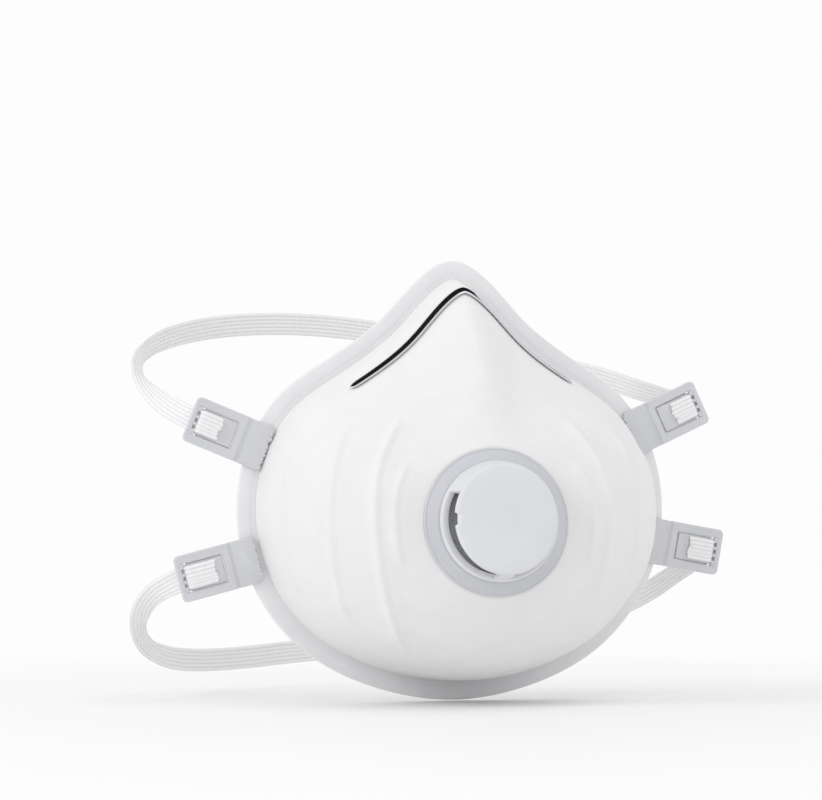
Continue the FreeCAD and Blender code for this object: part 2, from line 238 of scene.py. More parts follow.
def arcTree():  # small rounded bars spaced round an arc about +Z
    tree, given, put, calc = newTree(
        "barsRoundArc", count="Int", radius="Float", start="Float", step="Float", height="Float",
        bar="Vector", material="Material")
    line = put("GeometryNodeMeshLine", {"Count": given["count"]})
    index = put("GeometryNodeInputIndex")
    angle = calc("ADD", given["start"], calc("MULTIPLY", index, given["step"]))
    spot = put("ShaderNodeCombineXYZ", {
        0: calc("MULTIPLY", calc("COSINE", angle), given["radius"]),
        1: calc("MULTIPLY", calc("SINE", angle), given["radius"]),
        2: given["height"],
    })
    points = put("GeometryNodeSetPosition", {"Geometry": line, "Position": spot})
    turned = put("ShaderNodeCombineXYZ", {2: angle})
    cube = put("GeometryNodeMeshCube", {"Size": given["bar"]})
    bar = put("GeometryNodeSubdivisionSurface", {0: cube, "Level": 2, "Edge Crease": 0.8})
    bars = put("GeometryNodeInstanceOnPoints", {"Points": points, "Instance": bar, "Rotation": turned})
    closeTree(tree, bars, given["material"])
    return tree


def pipTree():  # a ragged row of small pressed marks along +Y
    tree, given, put, calc = newTree(
        "weldMarks", count="Int", length="Float", wander="Float", seed="Int", mark="Vector",
        material="Material")
    step = calc("DIVIDE", given["length"], calc("SUBTRACT", given["count"], 1.0))
    offset = put("ShaderNodeCombineXYZ", {1: step})
    start = put("ShaderNodeCombineXYZ", {1: calc("MULTIPLY", given["length"], -0.5)})
    line = put("GeometryNodeMeshLine", {"Count": given["count"], "Start Location": start, "Offset": offset})
    low = calc("MULTIPLY", given["wander"], -1.0)
    away, size = [addNode(tree, "FunctionNodeRandomValue", {2: least, 3: most, "Seed": given["seed"]},
                          data_type="FLOAT").outputs[1]
                  for least, most in ((low, given["wander"]), (0.45, 1.25))]
    shift = put("ShaderNodeCombineXYZ", {0: away})
    points = put("GeometryNodeSetPosition", {"Geometry": line, "Offset": shift})
    cube = put("GeometryNodeMeshCube", {"Size": given["mark"]})
    mark = put("GeometryNodeSubdivisionSurface", {0: cube, "Level": 2, "Edge Crease": 0.35})
    marks = put("GeometryNodeInstanceOnPoints", {"Points": points, "Instance": mark, "Scale": size})
    closeTree(tree, marks, given["material"])
    return tree


def spunbond(name, light, shade, rough, fibre, bonded):
    # Spunbond polypropylene nonwoven, hot moulded and dead matt: clouds 6 mm across and fibres 0.7 mm apart.
    # Its bond points, in rows 1.8 mm apart and 0.95 mm apart in the row, are a little larger than real.
    material, tree, shader, place = startMaterial(name, {
        "Roughness": rough, "Sheen Weight": 0.25, "Sheen Roughness": 0.6, "Specular IOR Level": 0.25,
    })
    cloud = noise(tree, place, 160.0, 4.0)
    web = noise(tree, place, 1500.0, 5.0, 1.6)
    tint(tree, shader, cloud, shade, light)
    flat = firstOut(tree, "ShaderNodeMapping", {"Vector": place, "Rotation": (math.radians(90), 0, 0)})
    turned = firstOut(tree, "ShaderNodeMapping", {
        "Vector": flat, "Rotation": (0, 0, math.radians(35)), "Scale": (560.0, 1050.0, 1.0)})
    dots = firstOut(tree, "ShaderNodeTexVoronoi", {"Vector": turned, "Scale": 1.0, "Randomness": 0.12},
                    voronoi_dimensions="2D", feature="F1")
    pits = mathNode(tree, "MULTIPLY", remap(tree, dots, 0.12, 0.34, 1.0, 0.0),
                    remap(tree, cloud, 0.42, 0.62, 0.0, bonded))
    height = mathNode(tree, "SUBTRACT", mathNode(tree, "MULTIPLY", web, fibre), pits)
    emboss(tree, shader, height, 0.35, 0.00012)
    return material


def mouldedPlastic(name, light, shade, rough):
    # Injection-moulded polypropylene: waxy half gloss, flow clouding 11 mm across and grain 0.3 mm across.
    material, tree, shader, place = startMaterial(name, {
        "IOR": 1.49, "Subsurface Weight": 0.12, "Subsurface Radius": (0.0012, 0.0012, 0.0013),
        "Subsurface Scale": 1.0,
    })
    flow = noise(tree, place, 90.0, 3.0, 0.8)
    tint(tree, shader, flow, shade, light)
    tree.links.new(remap(tree, flow, 0.0, 1.0, rough - 0.05, rough + 0.06), shader.inputs["Roughness"])
    emboss(tree, shader, noise(tree, place, 3200.0, 2.0), 0.12, 0.00005)
    return material


def rolledAluminium():
    # Bright cold-rolled aluminium: rolling lines 8 mm long and 0.4 mm apart, with rubs 2.5 mm across.
    material, tree, shader, place = startMaterial("rolledAluminium", {
        "Metallic": 1.0, "Base Color": rgb("D9DBDE")})
    lines = firstOut(tree, "ShaderNodeMapping", {"Vector": place, "Scale": (120.0, 2600.0, 2600.0)})
    rubs = noise(tree, place, 400.0, 4.0)
    tree.links.new(remap(tree, rubs, 0.35, 0.7, 0.05, 0.13), shader.inputs["Roughness"])
    emboss(tree, shader, noise(tree, lines, 1.0, 3.0), 0.1, 0.00003)
    return material


def siliconeRubber():
    # Thin moulded silicone: soft satin, milky and slightly see-through, with haze 3 mm across.
    material, tree, shader, place = startMaterial("siliconeRubber", {
        "IOR": 1.41, "Roughness": 0.38, "Subsurface Weight": 0.25, "Subsurface Radius": (0.001, 0.001, 0.001),
        "Subsurface Scale": 1.0,
    })
    haze = noise(tree, place, 300.0, 2.0)
    tint(tree, shader, haze, "E2E3E1", "F1F1EE")
    emboss(tree, shader, haze, 0.05, 0.0001)
    return material


def openFoam():
    # Die-cut polyurethane foam: open cells about 0.6 mm across, matt, with shaded pores.
    material, tree, shader, place = startMaterial("polyurethaneFoam", {
        "Roughness": 0.95, "Specular IOR Level": 0.2})
    cells = firstOut(tree, "ShaderNodeTexVoronoi", {"Vector": place, "Scale": 1600.0}, feature="F1")
    depth = remap(tree, cells, 0.1, 0.6, 0.0, 1.0)
    tint(tree, shader, depth, "C2C3C6", "E6E6E8")
    emboss(tree, shader, depth, 0.6, 0.0003)
    return material


def knittedElastic():
    # Ribbed polyester elastic: white yarn crossing the rubber ribs every 0.8 mm, with painted shade in the
    # grooves, which are 1.2 mm apart, and fluff 0.4 mm across.
    material, tree, shader, place = startMaterial("knittedElastic", {
        "Roughness": 0.8, "Sheen Weight": 0.35, "Sheen Roughness": 0.5, "Specular IOR Level": 0.3,
    })
    along, across = [addNode(tree, "ShaderNodeAttribute", attribute_name=name).outputs["Fac"]
                     for name in ("along", "across")]
    ribTurn = mathNode(tree, "MULTIPLY", mathNode(tree, "ADD", across, 1.0), math.pi * strap["ribs"])
    pick = mathNode(tree, "SINE", mathNode(tree, "MULTIPLY", along, 2 * math.pi / 0.0008))
    # painted shade: the yarn's colour darkens towards the bottom of each groove
    groove = remap(tree, mathNode(tree, "COSINE", ribTurn), 0.2, 1.0, 1.0, 0.0)
    tint(tree, shader, groove, "DEDEE0", "EEEEEE")
    height = mathNode(tree, "ADD", mathNode(tree, "MULTIPLY", pick, 0.5), noise(tree, place, 2400.0, 3.0))
    emboss(tree, shader, height, 0.4, 0.00012)
    return material


strap = {"width": 7.0, "thickness": 0.88, "ribs": 6, "ribDepth": 0.32, "edge": 10.0, "sides": 96}
strapEnd = {**strap, "width": 6.9, "thickness": 0.86, "ribs": 5, "ribDepth": 0.36}
coverCloth = spunbond("spunbondCover", "EBEAEA", "E4E3E3", 0.85, 0.5, 0.5)
rimCloth = spunbond("calenderedRim", "EAE9EA", "E2E1E3", 0.6, 0.25, 0.15)
linerCloth = spunbond("linerNonwoven", "F1F0EE", "E6E5E3", 0.92, 0.9, 0.25)
layerClothes = {
    "prefilter_felt": spunbond("needledFelt", "ECEBE8", "DEDDDA", 0.95, 1.4, 0.0),
    "filter_web_1": spunbond("meltblownWeb", "F4F4F4", "EAEBEC", 0.8, 0.4, 0.0),
    "filter_web_2": spunbond("meltblownWebInner", "F2F2F3", "E8E9EA", 0.8, 0.4, 0.0),
    "support_felt": spunbond("thermobondedFelt", "E8E7E4", "DAD9D5", 0.95, 1.6, 0.0),
}
valvePlastic = mouldedPlastic("polypropyleneValve", "DFE0E2", "D6D7DA", 0.42)
# the valve seat is the same polypropylene as the cover; its darker copy is painted shade
shadedBasePlastic = mouldedPlastic("polypropyleneBaseShaded", "CDCED2", "C4C5C9", 0.45)
bucklePlastic = mouldedPlastic("polypropyleneBuckle", "D3D4D7", "C9CACE", 0.4)
clipMetal = rolledAluminium()
membraneRubber = siliconeRubber()
padFoam = openFoam()
strapElastic = knittedElastic()
bandTree, barTree, markTree = ribbonTree(), arcTree(), pipTree()
print("materials and node trees made")


studio = {
    "target": (0.0, 5.0, 62.0), "azimuth": -16.0, "distance": 1000.0, "aimLeft": 18.3, "aimUp": 26.1,
    "lens": 151.0, "sensor": 36.0,
}
turn = math.radians(studio["azimuth"])
target = Vector(studio["target"]) * mm
forward = Vector((-math.sin(turn), math.cos(turn), 0))
rightward = Vector((math.cos(turn), math.sin(turn), 0))
cameraData = bpy.data.cameras.new("camera")
cameraData.sensor_width = studio["sensor"]
cameraData.lens = studio["lens"]
cameraData.clip_start, cameraData.clip_end = 0.05, 50
camera = bpy.data.objects.new("camera", cameraData)
scene.collection.objects.link(camera)
camera.location = target - forward * studio["distance"] * mm
aim = target - rightward * studio["aimLeft"] * mm + Vector((0, 0, studio["aimUp"] * mm))
camera.rotation_euler = (aim - camera.location).to_track_quat("-Z", "Y").to_euler()
scene.camera = camera
scene.view_settings.view_transform = "Standard"


def softbox(name, place, size, power):
    data = bpy.data.lights.new(name, "AREA")
    data.shape = "RECTANGLE"
    data.size, data.size_y = size
    data.energy = power
    lamp = bpy.data.objects.new(name, data)
    scene.collection.objects.link(lamp)
    lamp.location = place
    lamp.rotation_euler = (Vector((0, 0, 0.06)) - lamp.location).to_track_quat("-Z", "Y").to_euler()


softbox("keyBox", (-1.1, -0.35, 0.6), (0.3, 0.5), 3.4)
softbox("topBox", (0.3, -0.3, 1.1), (0.8, 0.6), 1.6)
world = bpy.data.worlds.new("studio")
scene.world = world
world.use_nodes = True
background = world.node_tree.nodes["Background"]
background.inputs["Color"].default_value = rgb("FDFDFE")
seen = addNode(world.node_tree, "ShaderNodeLightPath").outputs["Is Camera Ray"]
glow = remap(world.node_tree, seen, 0.0, 1.0, 0.88, 1.0)  # plain white where it is seen directly
world.node_tree.links.new(glow, background.inputs["Strength"])

# a black card over the set, seen only by reflections, gives the bright metal its dark band
flagPaint = startMaterial("blackFlag", {"Base Color": rgb("050505"), "Roughness": 1.0})[0]
flagPiece = card("blackFlag", -420, 420, -60, 420, 520, flagPaint)
flagPiece.visible_camera = flagPiece.visible_diffuse = flagPiece.visible_shadow = False
flagPiece.visible_transmission = flagPiece.visible_volume_scatter = False

floorPaint, floorTree, floorShader, floorPlace = startMaterial("paleFloor", {"Roughness": 0.55})
tint(floorTree, floorShader, noise(floorTree, floorPlace, 6.0, 2.0), "F6F6F7", "FAFAFA")
# the sheet fades into the white surround from 0.1 m to 0.35 m away from the mask
away = addNode(floorTree, "ShaderNodeVectorMath", {0: floorPlace}, operation="LENGTH").outputs["Value"]
fade = remap(floorTree, away, 0.1, 0.35, 0.0, 1.0)
white = firstOut(floorTree, "ShaderNodeEmission", {"Color": rgb("FDFDFE"), "Strength": 1.0})
blend = firstOut(floorTree, "ShaderNodeMixShader", {0: fade, 1: floorShader.outputs[0], 2: white})
floorOut = next(node for node in floorTree.nodes if node.type == "OUTPUT_MATERIAL")
floorTree.links.new(blend, floorOut.inputs["Surface"])
card("floorSheet", -9000, 9000, -9000, 9000, -0.3, floorPaint)
print("camera and studio set")


# Each half of a strap, by its buckle: the CAD route's points, and which way its width points at each of them.
strapHalves = {
    "upper_left": {
        "length": 0.139,
        "route": [(-0.0771, 0.02875, 0.0820), (-0.0835, 0.0365, 0.0858), (-0.0876, 0.0495, 0.0918),
                  (-0.0882, 0.0655, 0.0982), (-0.0835, 0.0825, 0.1040), (-0.0735, 0.0980, 0.1092),
                  (-0.0560, 0.1095, 0.1135), (-0.0320, 0.1160, 0.1153), (-0.0190, 0.1170, 0.11455)],
        "wide": [(-0.37, 0, -0.93), (-0.75, 0.1, -0.62), (-0.98, 0.1, 0.05), (-0.6, -0.2, 0.75),
                 (0, -0.33, 0.94), (0, -0.2, 0.98)] + [(0, 0, 1)] * 3,
    },
    "upper_right": {
        "length": 0.156,
        "route": [(0.0750, 0.02875, 0.0878), (0.0723, 0.0430, 0.0900), (0.0690, 0.0615, 0.0932),
                  (0.0655, 0.0815, 0.0970), (0.0570, 0.1000, 0.1008), (0.0410, 0.1115, 0.1048),
                  (0.0190, 0.1170, 0.1095), (-0.0060, 0.1180, 0.1138), (-0.0190, 0.1170, 0.11455)],
        "wide": [(-0.42, 0, 0.91), (-0.35, 0, 0.93), (-0.2, 0, 0.98), (-0.1, 0, 1)] + [(0, 0, 1)] * 5,
    },
    "lower_left": {
        "length": 0.133,
        "route": [(-0.0803, 0.02875, 0.0365), (-0.0868, 0.0360, 0.0333), (-0.0900, 0.0475, 0.0270),
                  (-0.0880, 0.0625, 0.0185), (-0.0810, 0.0770, 0.0126), (-0.0695, 0.0900, 0.0094),
                  (-0.0510, 0.1005, 0.0092), (-0.0280, 0.1070, 0.0112), (-0.0155, 0.10825, 0.0121)],
        "wide": [(-0.25, 0, 0.97), (-0.75, 0.1, 0.6), (-0.98, 0.1, -0.1), (-0.55, -0.3, -0.8),
                 (0, -0.3, -0.95), (0, -0.1, -1)] + [(0, 0, -1)] * 3,
    },
    "lower_right": {
        "length": 0.150,
        "route": [(0.0808, 0.02875, 0.0435), (0.0770, 0.0420, 0.0383), (0.0745, 0.0575, 0.0325),
                  (0.0710, 0.0750, 0.0270), (0.0610, 0.0900, 0.0220), (0.0440, 0.1010, 0.0183),
                  (0.0220, 0.1075, 0.0153), (-0.0030, 0.1095, 0.0130), (-0.0155, 0.10825, 0.0121)],
        "wide": [(-0.17, 0, -0.985), (-0.1, 0, -0.99)] + [(0, 0, -1)] * 7,
    },
}


def splinePath(route):  # points along the route's own NURBS line
    curve = bpy.data.curves.new("route", "CURVE")
    curve.dimensions = "3D"
    spline = curve.splines.new("NURBS")
    spline.points.add(len(route) - 1)
    for point, place in zip(spline.points, route):
        point.co = (*place, 1)
    spline.order_u = 3
    spline.use_endpoint_u = True
    spline.resolution_u = 24
    holder = bpy.data.objects.new("route", curve)
    scene.collection.objects.link(holder)
    line = bpy.data.meshes.new_from_object(holder)
    places = np.array([v.co for v in line.vertices])
    bpy.data.objects.remove(holder)
    return places


def runAlong(places):
    return np.concatenate([[0], np.cumsum(np.linalg.norm(np.diff(places, axis=0), axis=1))])


def mark(mesh, name, kind, key, values):  # stores one value for each point
    mesh.attributes.new(name, kind, "POINT").data.foreach_set(key, np.asarray(values, np.float32).ravel())


def pathMesh(places, wide):  # a line of edges that carries its width direction
    tangent = np.gradient(places, axis=0)
    tangent /= np.linalg.norm(tangent, axis=1)[:, None]
    wide = wide - (wide * tangent).sum(1)[:, None] * tangent
    wide /= np.linalg.norm(wide, axis=1)[:, None]
    mesh = bpy.data.meshes.new("path")
    mesh.from_pydata(places.tolist(), [(i, i + 1) for i in range(len(places) - 1)], [])
    mark(mesh, "wide", "FLOAT_VECTOR", "vector", wide)
    return mesh


def markBand(mesh, places, sides):  # lengthwise and crosswise places for the yarn pattern
    across = 1 - 4 * np.abs(np.arange(sides) / sides - 0.5)
    count = len(mesh.vertices)
    mark(mesh, "along", "FLOAT", "value", np.repeat(runAlong(places), sides)[:count])
    mark(mesh, "across", "FLOAT", "value", np.tile(across, len(places))[:count])


def ribbedBand(name, places, wide, spec, material):
    given = {**spec, "width": spec["width"] * mm, "thickness": spec["thickness"] * mm, "material": material}
    piece = grow(name, bandTree, given, pathMesh(places, wide))
    markBand(piece.data, places, spec["sides"])
    return piece


for place, half in strapHalves.items():
    places = splinePath(half["route"])
    last = len(half["route"]) - 1
    knots = [0] + [i - 0.5 for i in range(1, last)] + [last - 1]
    at = np.linspace(0, last - 1, len(places))
    wide = np.stack([np.interp(at, knots, [w[k] for w in half["wide"]]) for k in range(3)], 1)
    for _ in range(12):  # ease the turning between the set directions
        wide[1:-1] = (wide[:-2] + 2 * wide[1:-1] + wide[2:]) / 4
    piece = ribbedBand("strap" + place.title().replace("_", ""), places, wide, strap, strapElastic)
    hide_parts("strap_" + place.split("_")[0])
    start = half["route"][0]
    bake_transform(piece)
print("straps made")


cup = {
    "rimFront": 27.5, "rimWidth": 6.0, "depth": 45.0, "seatHeight": 52.8,
    "seatRadius": 21.8, "valvePitch": 6.0, "holeRadius": 13.4, "layerPitch": 0.55, "layerThickness": 0.45,
    "outline": [(0, 0), (23, 3.7), (46, 15.5), (61.5, 36.5), (65.4, 57), (60, 79.5), (53, 89.5), (39, 100),
                (21.5, 113), (10, 125), (0, 130)],
    "sideRise": ((0.0, 0.55), (0.45, 1.0)), "noseRise": ((0.0, 0.42), (0.50, 0.62)),
    "chinRise": ((0.0, 0.75), (0.25, 0.78)),
}
# Cheek ribs: (degrees above level, distance up from the crease), height, half width
cheekRibs = [
    {"line": [(-21, 16.7), (4.6, 20.5), (21, 18.7)], "height": 1.0, "half": 1.4},
    {"line": [(-33.5, 30.4), (5.5, 38.2), (32, 31.9)], "height": 1.35, "half": 1.5},
    {"line": [(-55, 35.1), (-17, 50.8), (6.9, 50.7), (46.8, 39.4)], "height": 1.35, "half": 1.5},
    {"line": [(-22, 55.2), (8, 57.0), (32, 53.5)], "height": 0.75, "half": 1.2},
]
noseRidge = {"height": 1.2, "half": 11, "start": 20, "end": 58, "fade": 12}  # half is in degrees
pitch = math.radians(cup["valvePitch"])
cupMiddle = np.array([0, cup["rimFront"] - cup["depth"], cup["seatHeight"]])
valveUp = np.array([0, math.sin(pitch), math.cos(pitch)])
valveAxis = np.array([0, -math.cos(pitch), math.sin(pitch)])


def outlineRing(count):  # evenly spaced points of the rim's outline, with outward directions
    right = np.array(cup["outline"], float)
    knots = np.vstack([right, right[-2:0:-1] * [-1, 1]])
    n = len(knots)
    gaps = np.linalg.norm(np.roll(knots, -1, 0) - knots, axis=1)
    matrix, rhs = np.zeros((n, n)), np.zeros((n, 2))
    for i in range(n):
        before, after, ahead = gaps[i - 1], gaps[i], (i + 1) % n
        matrix[i, i - 1] += before
        matrix[i, i] += 2 * (before + after)
        matrix[i, ahead] += after
        rhs[i] = 6 * ((knots[ahead] - knots[i]) / after - (knots[i] - knots[i - 1]) / before)
    bend = np.linalg.solve(matrix, rhs)
    dense = []
    for i in range(n):
        ahead, gap = (i + 1) % n, gaps[i]
        b = np.linspace(0, 1, 200, endpoint=False)[:, None]
        a = 1 - b
        dense.append(a * knots[i] + b * knots[ahead]
                     + ((a ** 3 - a) * bend[i] + (b ** 3 - b) * bend[ahead]) * gap * gap / 6)
    dense = np.vstack(dense)
    loop = np.vstack([dense, dense[:1]])
    run = runAlong(loop)

    def spot(distance):
        return np.stack([np.interp(distance % run[-1], run, loop[:, k]) for k in range(2)], 1)

    at = np.arange(count) / count * run[-1]
    along = spot(at + 0.2) - spot(at - 0.2)
    along /= np.linalg.norm(along, axis=1)[:, None]
    return spot(at), np.stack([along[:, 1], -along[:, 0]], 1)


def cupPoint(root, t):  # the cup's outside above a crease point, t from 0 at the rim to 1 at the valve seat
    angle = np.arctan2(root[..., 1] - cup["seatHeight"], root[..., 0])
    nose, chin = np.maximum(0, np.sin(angle)) ** 2, np.maximum(0, -np.sin(angle)) ** 2
    side = 1 - nose - chin
    seat = (cupMiddle + cup["seatRadius"] * np.cos(angle)[..., None] * np.array([1, 0, 0])
            + cup["seatRadius"] * np.sin(angle)[..., None] * valveUp)
    weights = [[side * cup["sideRise"][i][j] + nose * cup["noseRise"][i][j] + chin * cup["chinRise"][i][j]
                for j in range(2)] for i in range(2)]
    a, b = 3 * (1 - t) ** 2 * t, 3 * (1 - t) * t ** 2
    across, rise = [a * weights[0][j] + b * weights[1][j] + t ** 3 for j in range(2)]
    return np.stack([
        root[..., 0] + (seat[..., 0] - root[..., 0]) * across,
        cup["rimFront"] + (seat[..., 1] - cup["rimFront"]) * rise,
        root[..., 1] + (seat[..., 2] - root[..., 1]) * across,
    ], -1)


def cupGrid(around, rows, depth):  # points this deep in the cup's outside, their outward directions and runs
    place, out = outlineRing(around)
    root = place - out * cup["rimWidth"]
    dense = np.linspace(0, 1, 161)
    lines = cupPoint(root[:, None, :], dense[None, :])
    steps = np.linalg.norm(np.diff(lines, axis=1), axis=2)
    run = np.concatenate([np.zeros((around, 1)), np.cumsum(steps, 1)], 1)
    share = np.linspace(0, 1, rows)
    t = np.stack([np.interp(share * run[i, -1], run[i], dense) for i in range(around)])
    grid = cupPoint(root[:, None, :], t)
    climb = (cupPoint(root[:, None, :], np.minimum(t + 0.01, 1))
             - cupPoint(root[:, None, :], np.maximum(t - 0.01, 0)))
    ahead = np.roll(grid, -1, 0) - np.roll(grid, 1, 0)
    outward = np.cross(ahead, climb)
    outward /= np.linalg.norm(outward, axis=2)[..., None]
    outward[:, 0] = np.stack([out[:, 0], np.zeros(around), out[:, 1]], 1)
    middle = cupMiddle - grid[:, -1]
    seatOut = valveAxis - 0.5 * middle / np.linalg.norm(middle, axis=1)[:, None]
    near = np.clip((share - 0.85) / 0.15, 0, 1)[None, :, None] ** 2
    outward = outward * (1 - near) + seatOut[:, None, :] * near
    return root, grid - outward * depth, outward, share[None, :] * run[:, -1:]


def ribHeight(root, run):  # outward height of the moulded cheek ribs and the nose ridge
    above = np.degrees(np.arctan2(root[:, 1] - cup["seatHeight"], np.abs(root[:, 0])))[:, None]
    height = np.zeros_like(run)
    for rib in cheekRibs:
        angles, runs = zip(*rib["line"])
        middle = np.polyval(np.polyfit(angles, runs, 2), above)
        inside = np.minimum(above - angles[0], angles[-1] - above)
        fade = np.clip((inside + 6) / 12, 0, 1)
        fade = fade * fade * (3 - 2 * fade)
        away = (run - middle) / rib["half"]
        height += rib["height"] * fade * (np.exp(-away ** 2) + 0.35 * np.exp(-((away - 1.9) / 1.6) ** 2))
    ridge = noseRidge["height"] * np.exp(-((above - 90) / noseRidge["half"]) ** 2)
    for sign, end in ((1, noseRidge["start"]), (-1, noseRidge["end"])):
        ridge = ridge * np.clip(sign * (run - end) / noseRidge["fade"], 0, 1)
    return height + ridge


def cupShell(name, depth, around, rows, material, shaped=False):
    root, outer, outward, run = cupGrid(around, rows, depth)
    if shaped:
        outer = outer + outward * ribHeight(root, run)[..., None]
        foot = np.clip(1 - run / 1.6, 0, 1)[..., None] ** 2  # moulded radius where the cup leaves the flange
        outer = outer + np.where(foot > 0, outward * [1, 0, 1] * foot * 0.45, 0)
    inner = outer - outward * cup["layerThickness"]
    angle = np.arctan2(root[:, 1] - cup["seatHeight"], root[:, 0])
    spin = (np.cos(angle)[:, None, None] * np.array([1, 0, 0]) + np.sin(angle)[:, None, None] * valveUp)
    hole = cupMiddle - valveAxis * depth + spin * cup["holeRadius"]
    holeInner = hole - valveAxis * cup["layerThickness"]
    loops = np.concatenate([outer, hole, holeInner, inner[:, ::-1]], 1)  # up the outside, down the inside
    points = loops.transpose(1, 0, 2).reshape(-1, 3)
    return finishMesh(name, points, gridFaces(loops.shape[1], around, True, True), material, 60)


settle(cupShell("coverSkin", 0.0, 320, 112, coverCloth, True), "mask_body", "cover_nonwoven", "outer_cover")
layerSlots = {"prefilter_felt": "prefilter_felt", "filter_web_1": "filter_web", "filter_web_2": "filter_web",
              "support_felt": "support_felt"}
for i, (node, slotName) in enumerate(layerSlots.items()):
    shell = cupShell(node + "_sheet", (i + 1) * cup["layerPitch"], 128, 40, layerClothes[node])
    settle(shell, "mask_body", slotName, node)
liner = cupShell("linerSheet", 5 * cup["layerPitch"], 256, 80, linerCloth)
settle(liner, "mask_body", "liner_nonwoven", "inner_liner")

# Flange: (distance in from the edge, distance behind the front face)
rimProfile = [
    (0.0, 0.75), (0.0, 0.45), (0.12, 0.2), (0.4, 0.05), (0.8, 0.0), (2.0, 0.03), (3.2, 0.05), (3.7, 0.12),
    (4.1, 0.26), (4.6, 0.33), (5.2, 0.33), (5.7, 0.26), (6.2, 0.1), (6.6, 0.03), (8.0, 0.03), (9.2, 0.1),
    (9.3, 0.3), (9.3, 1.0), (9.15, 1.18), (8.2, 1.2), (7.9, 1.12), (7.5, 1.12), (7.2, 1.2), (3.0, 1.2),
    (2.7, 1.1), (2.3, 1.1), (2.0, 1.2), (0.6, 1.2), (0.15, 1.08),
]


def flange():
    around = 384
    place, out = outlineRing(around)
    rings = []
    for inset, back in rimProfile:
        spot = place - out * inset
        rings.append(np.stack([spot[:, 0], np.full(around, cup["rimFront"] + back), spot[:, 1]], 1))
    faces = gridFaces(len(rings), around, True, True)
    return finishMesh("weldedFlange", np.vstack(rings), faces, rimCloth, 50)


settle(flange(), "mask_body", "cover_nonwoven", "rim_band")
print("cup made")


clip = {"width": 3.0, "thickness": 0.8, "ribs": 1, "ribDepth": 0.0, "edge": 3.2, "sides": 28,
        "left": -37.5, "right": 34.0, "clear": 0.25, "depthNose": 11.5, "depthEnd": 15.7}
foam = {"half": 24.0, "near": 2.0, "far": 12.0, "drop": 3.0}
upperPlace, upperOut = outlineRing(1440)
upperRoots = upperPlace - upperOut * cup["rimWidth"]
upperRoots = upperRoots[upperRoots[:, 1] > cup["seatHeight"]]
upperRoots = upperRoots[np.argsort(upperRoots[:, 0])]


def onCup(x, depth):  # the cup's outside at x, depth in front of the rim: place, climb and outward directions
    root = np.array([x, np.interp(x, upperRoots[:, 0], upperRoots[:, 1])])
    t = np.linspace(0, 0.7, 400)
    line = cupPoint(root[None, :], t)
    at = np.interp(depth, cup["rimFront"] - line[:, 1], t)
    near = [cupPoint(root, np.array(at + step)) for step in (-0.02, 0.0, 0.02)]
    climb = (near[2] - near[0]) / np.linalg.norm(near[2] - near[0])
    beside = [np.array([x + d, 0, np.interp(x + d, upperRoots[:, 0], upperRoots[:, 1])]) for d in (-2, 2)]
    outward = np.cross(beside[1] - beside[0], climb)
    outward /= np.linalg.norm(outward)
    return near[1], climb, outward if outward[2] > 0 else -outward


def noseClip():
    places, wide = [], []
    for x in np.linspace(clip["left"], clip["right"], 131):
        depth = clip["depthNose"] + (clip["depthEnd"] - clip["depthNose"]) * abs(x) / clip["right"]
        spot, climb, outward = onCup(x, depth)
        places.append(spot + outward * (clip["clear"] + clip["thickness"] / 2))
        wide.append(climb)
    places, wide = np.array(places) * mm, np.array(wide)
    piece = ribbedBand("noseStrip", places, wide, clip, clipMetal)
    sides = clip["sides"]
    run = runAlong(places)
    toEnd = np.minimum(run, run[-1] - run) / (clip["width"] * mm)
    size = np.sqrt(np.clip(1 - (1 - np.clip(toEnd + 0.02, 0, 1)) ** 2, 0.02, 1))  # rounded ends
    for i, vertex in enumerate(piece.data.vertices):
        ring = min(i // sides, len(places) - 1)
        centre = Vector(places[ring])
        vertex.co = centre + (vertex.co - centre) * size[ring]
    return piece


def nosePad():
    columns, rows = 61, 17
    points = []
    for depth in np.linspace(foam["near"], foam["far"], rows):
        for x in np.linspace(-foam["half"], foam["half"], columns) * 0.96:
            spot, climb, outward = onCup(x, depth)
            points.append(spot - outward * (6 * cup["layerPitch"] + 0.05))
    top = np.array(points).reshape(rows, columns, 3)
    u, v = [np.abs(np.linspace(-1, 1, count)) for count in (columns, rows)]
    full = np.sqrt(np.clip(1 - u[None, :] ** 14, 0, 1)) * np.sqrt(np.clip(1 - v[:, None] ** 6, 0, 1))
    low = top - np.array([0, 0, 1]) * (0.15 + (foam["drop"] - 0.15) * full)[..., None]
    around = np.concatenate([top, low[::-1]]).transpose(1, 0, 2)  # one loop across the strip at each column
    points, faces = stacked(list(around))
    return finishMesh("nosePad", points, faces, padFoam, 70)


settle(noseClip(), "mask_body", "clip_aluminium", "nose_clip")
padPiece = settle(nosePad(), "mask_body", "nose_foam", "nose_foam")
print("clip and foam made")


valve = {
    "neckRadius": 13.2, "neckWall": 1.0, "neckDepth": 5.4, "baseRadius": 21.3, "collar": 17.3,
    "beadRadius": 11.6, "beadTop": 3.6, "hub": 2.4, "floorLow": 0.6, "floorTop": 1.6, "spokeWidth": 1.2,
    "ventStart": 150, "ventEnd": 262, "ventLow": 4.55, "ventHigh": 10.2, "front": 11.7, "wall": 1.2,
    "bars": 15, "face": 14.6, "slope": 0.32, "notchHalf": 6, "notchDepth": 0.85, "ledge": 2.1,
    "taller": 0.055, "ridges": (12.9, 13.6, 14.3, 15.0),
}


def toValve(points):  # valve axes: x, up, outward
    points = np.asarray(points, float)
    return cupMiddle + points @ np.array([[1, 0, 0], valveUp, valveAxis])


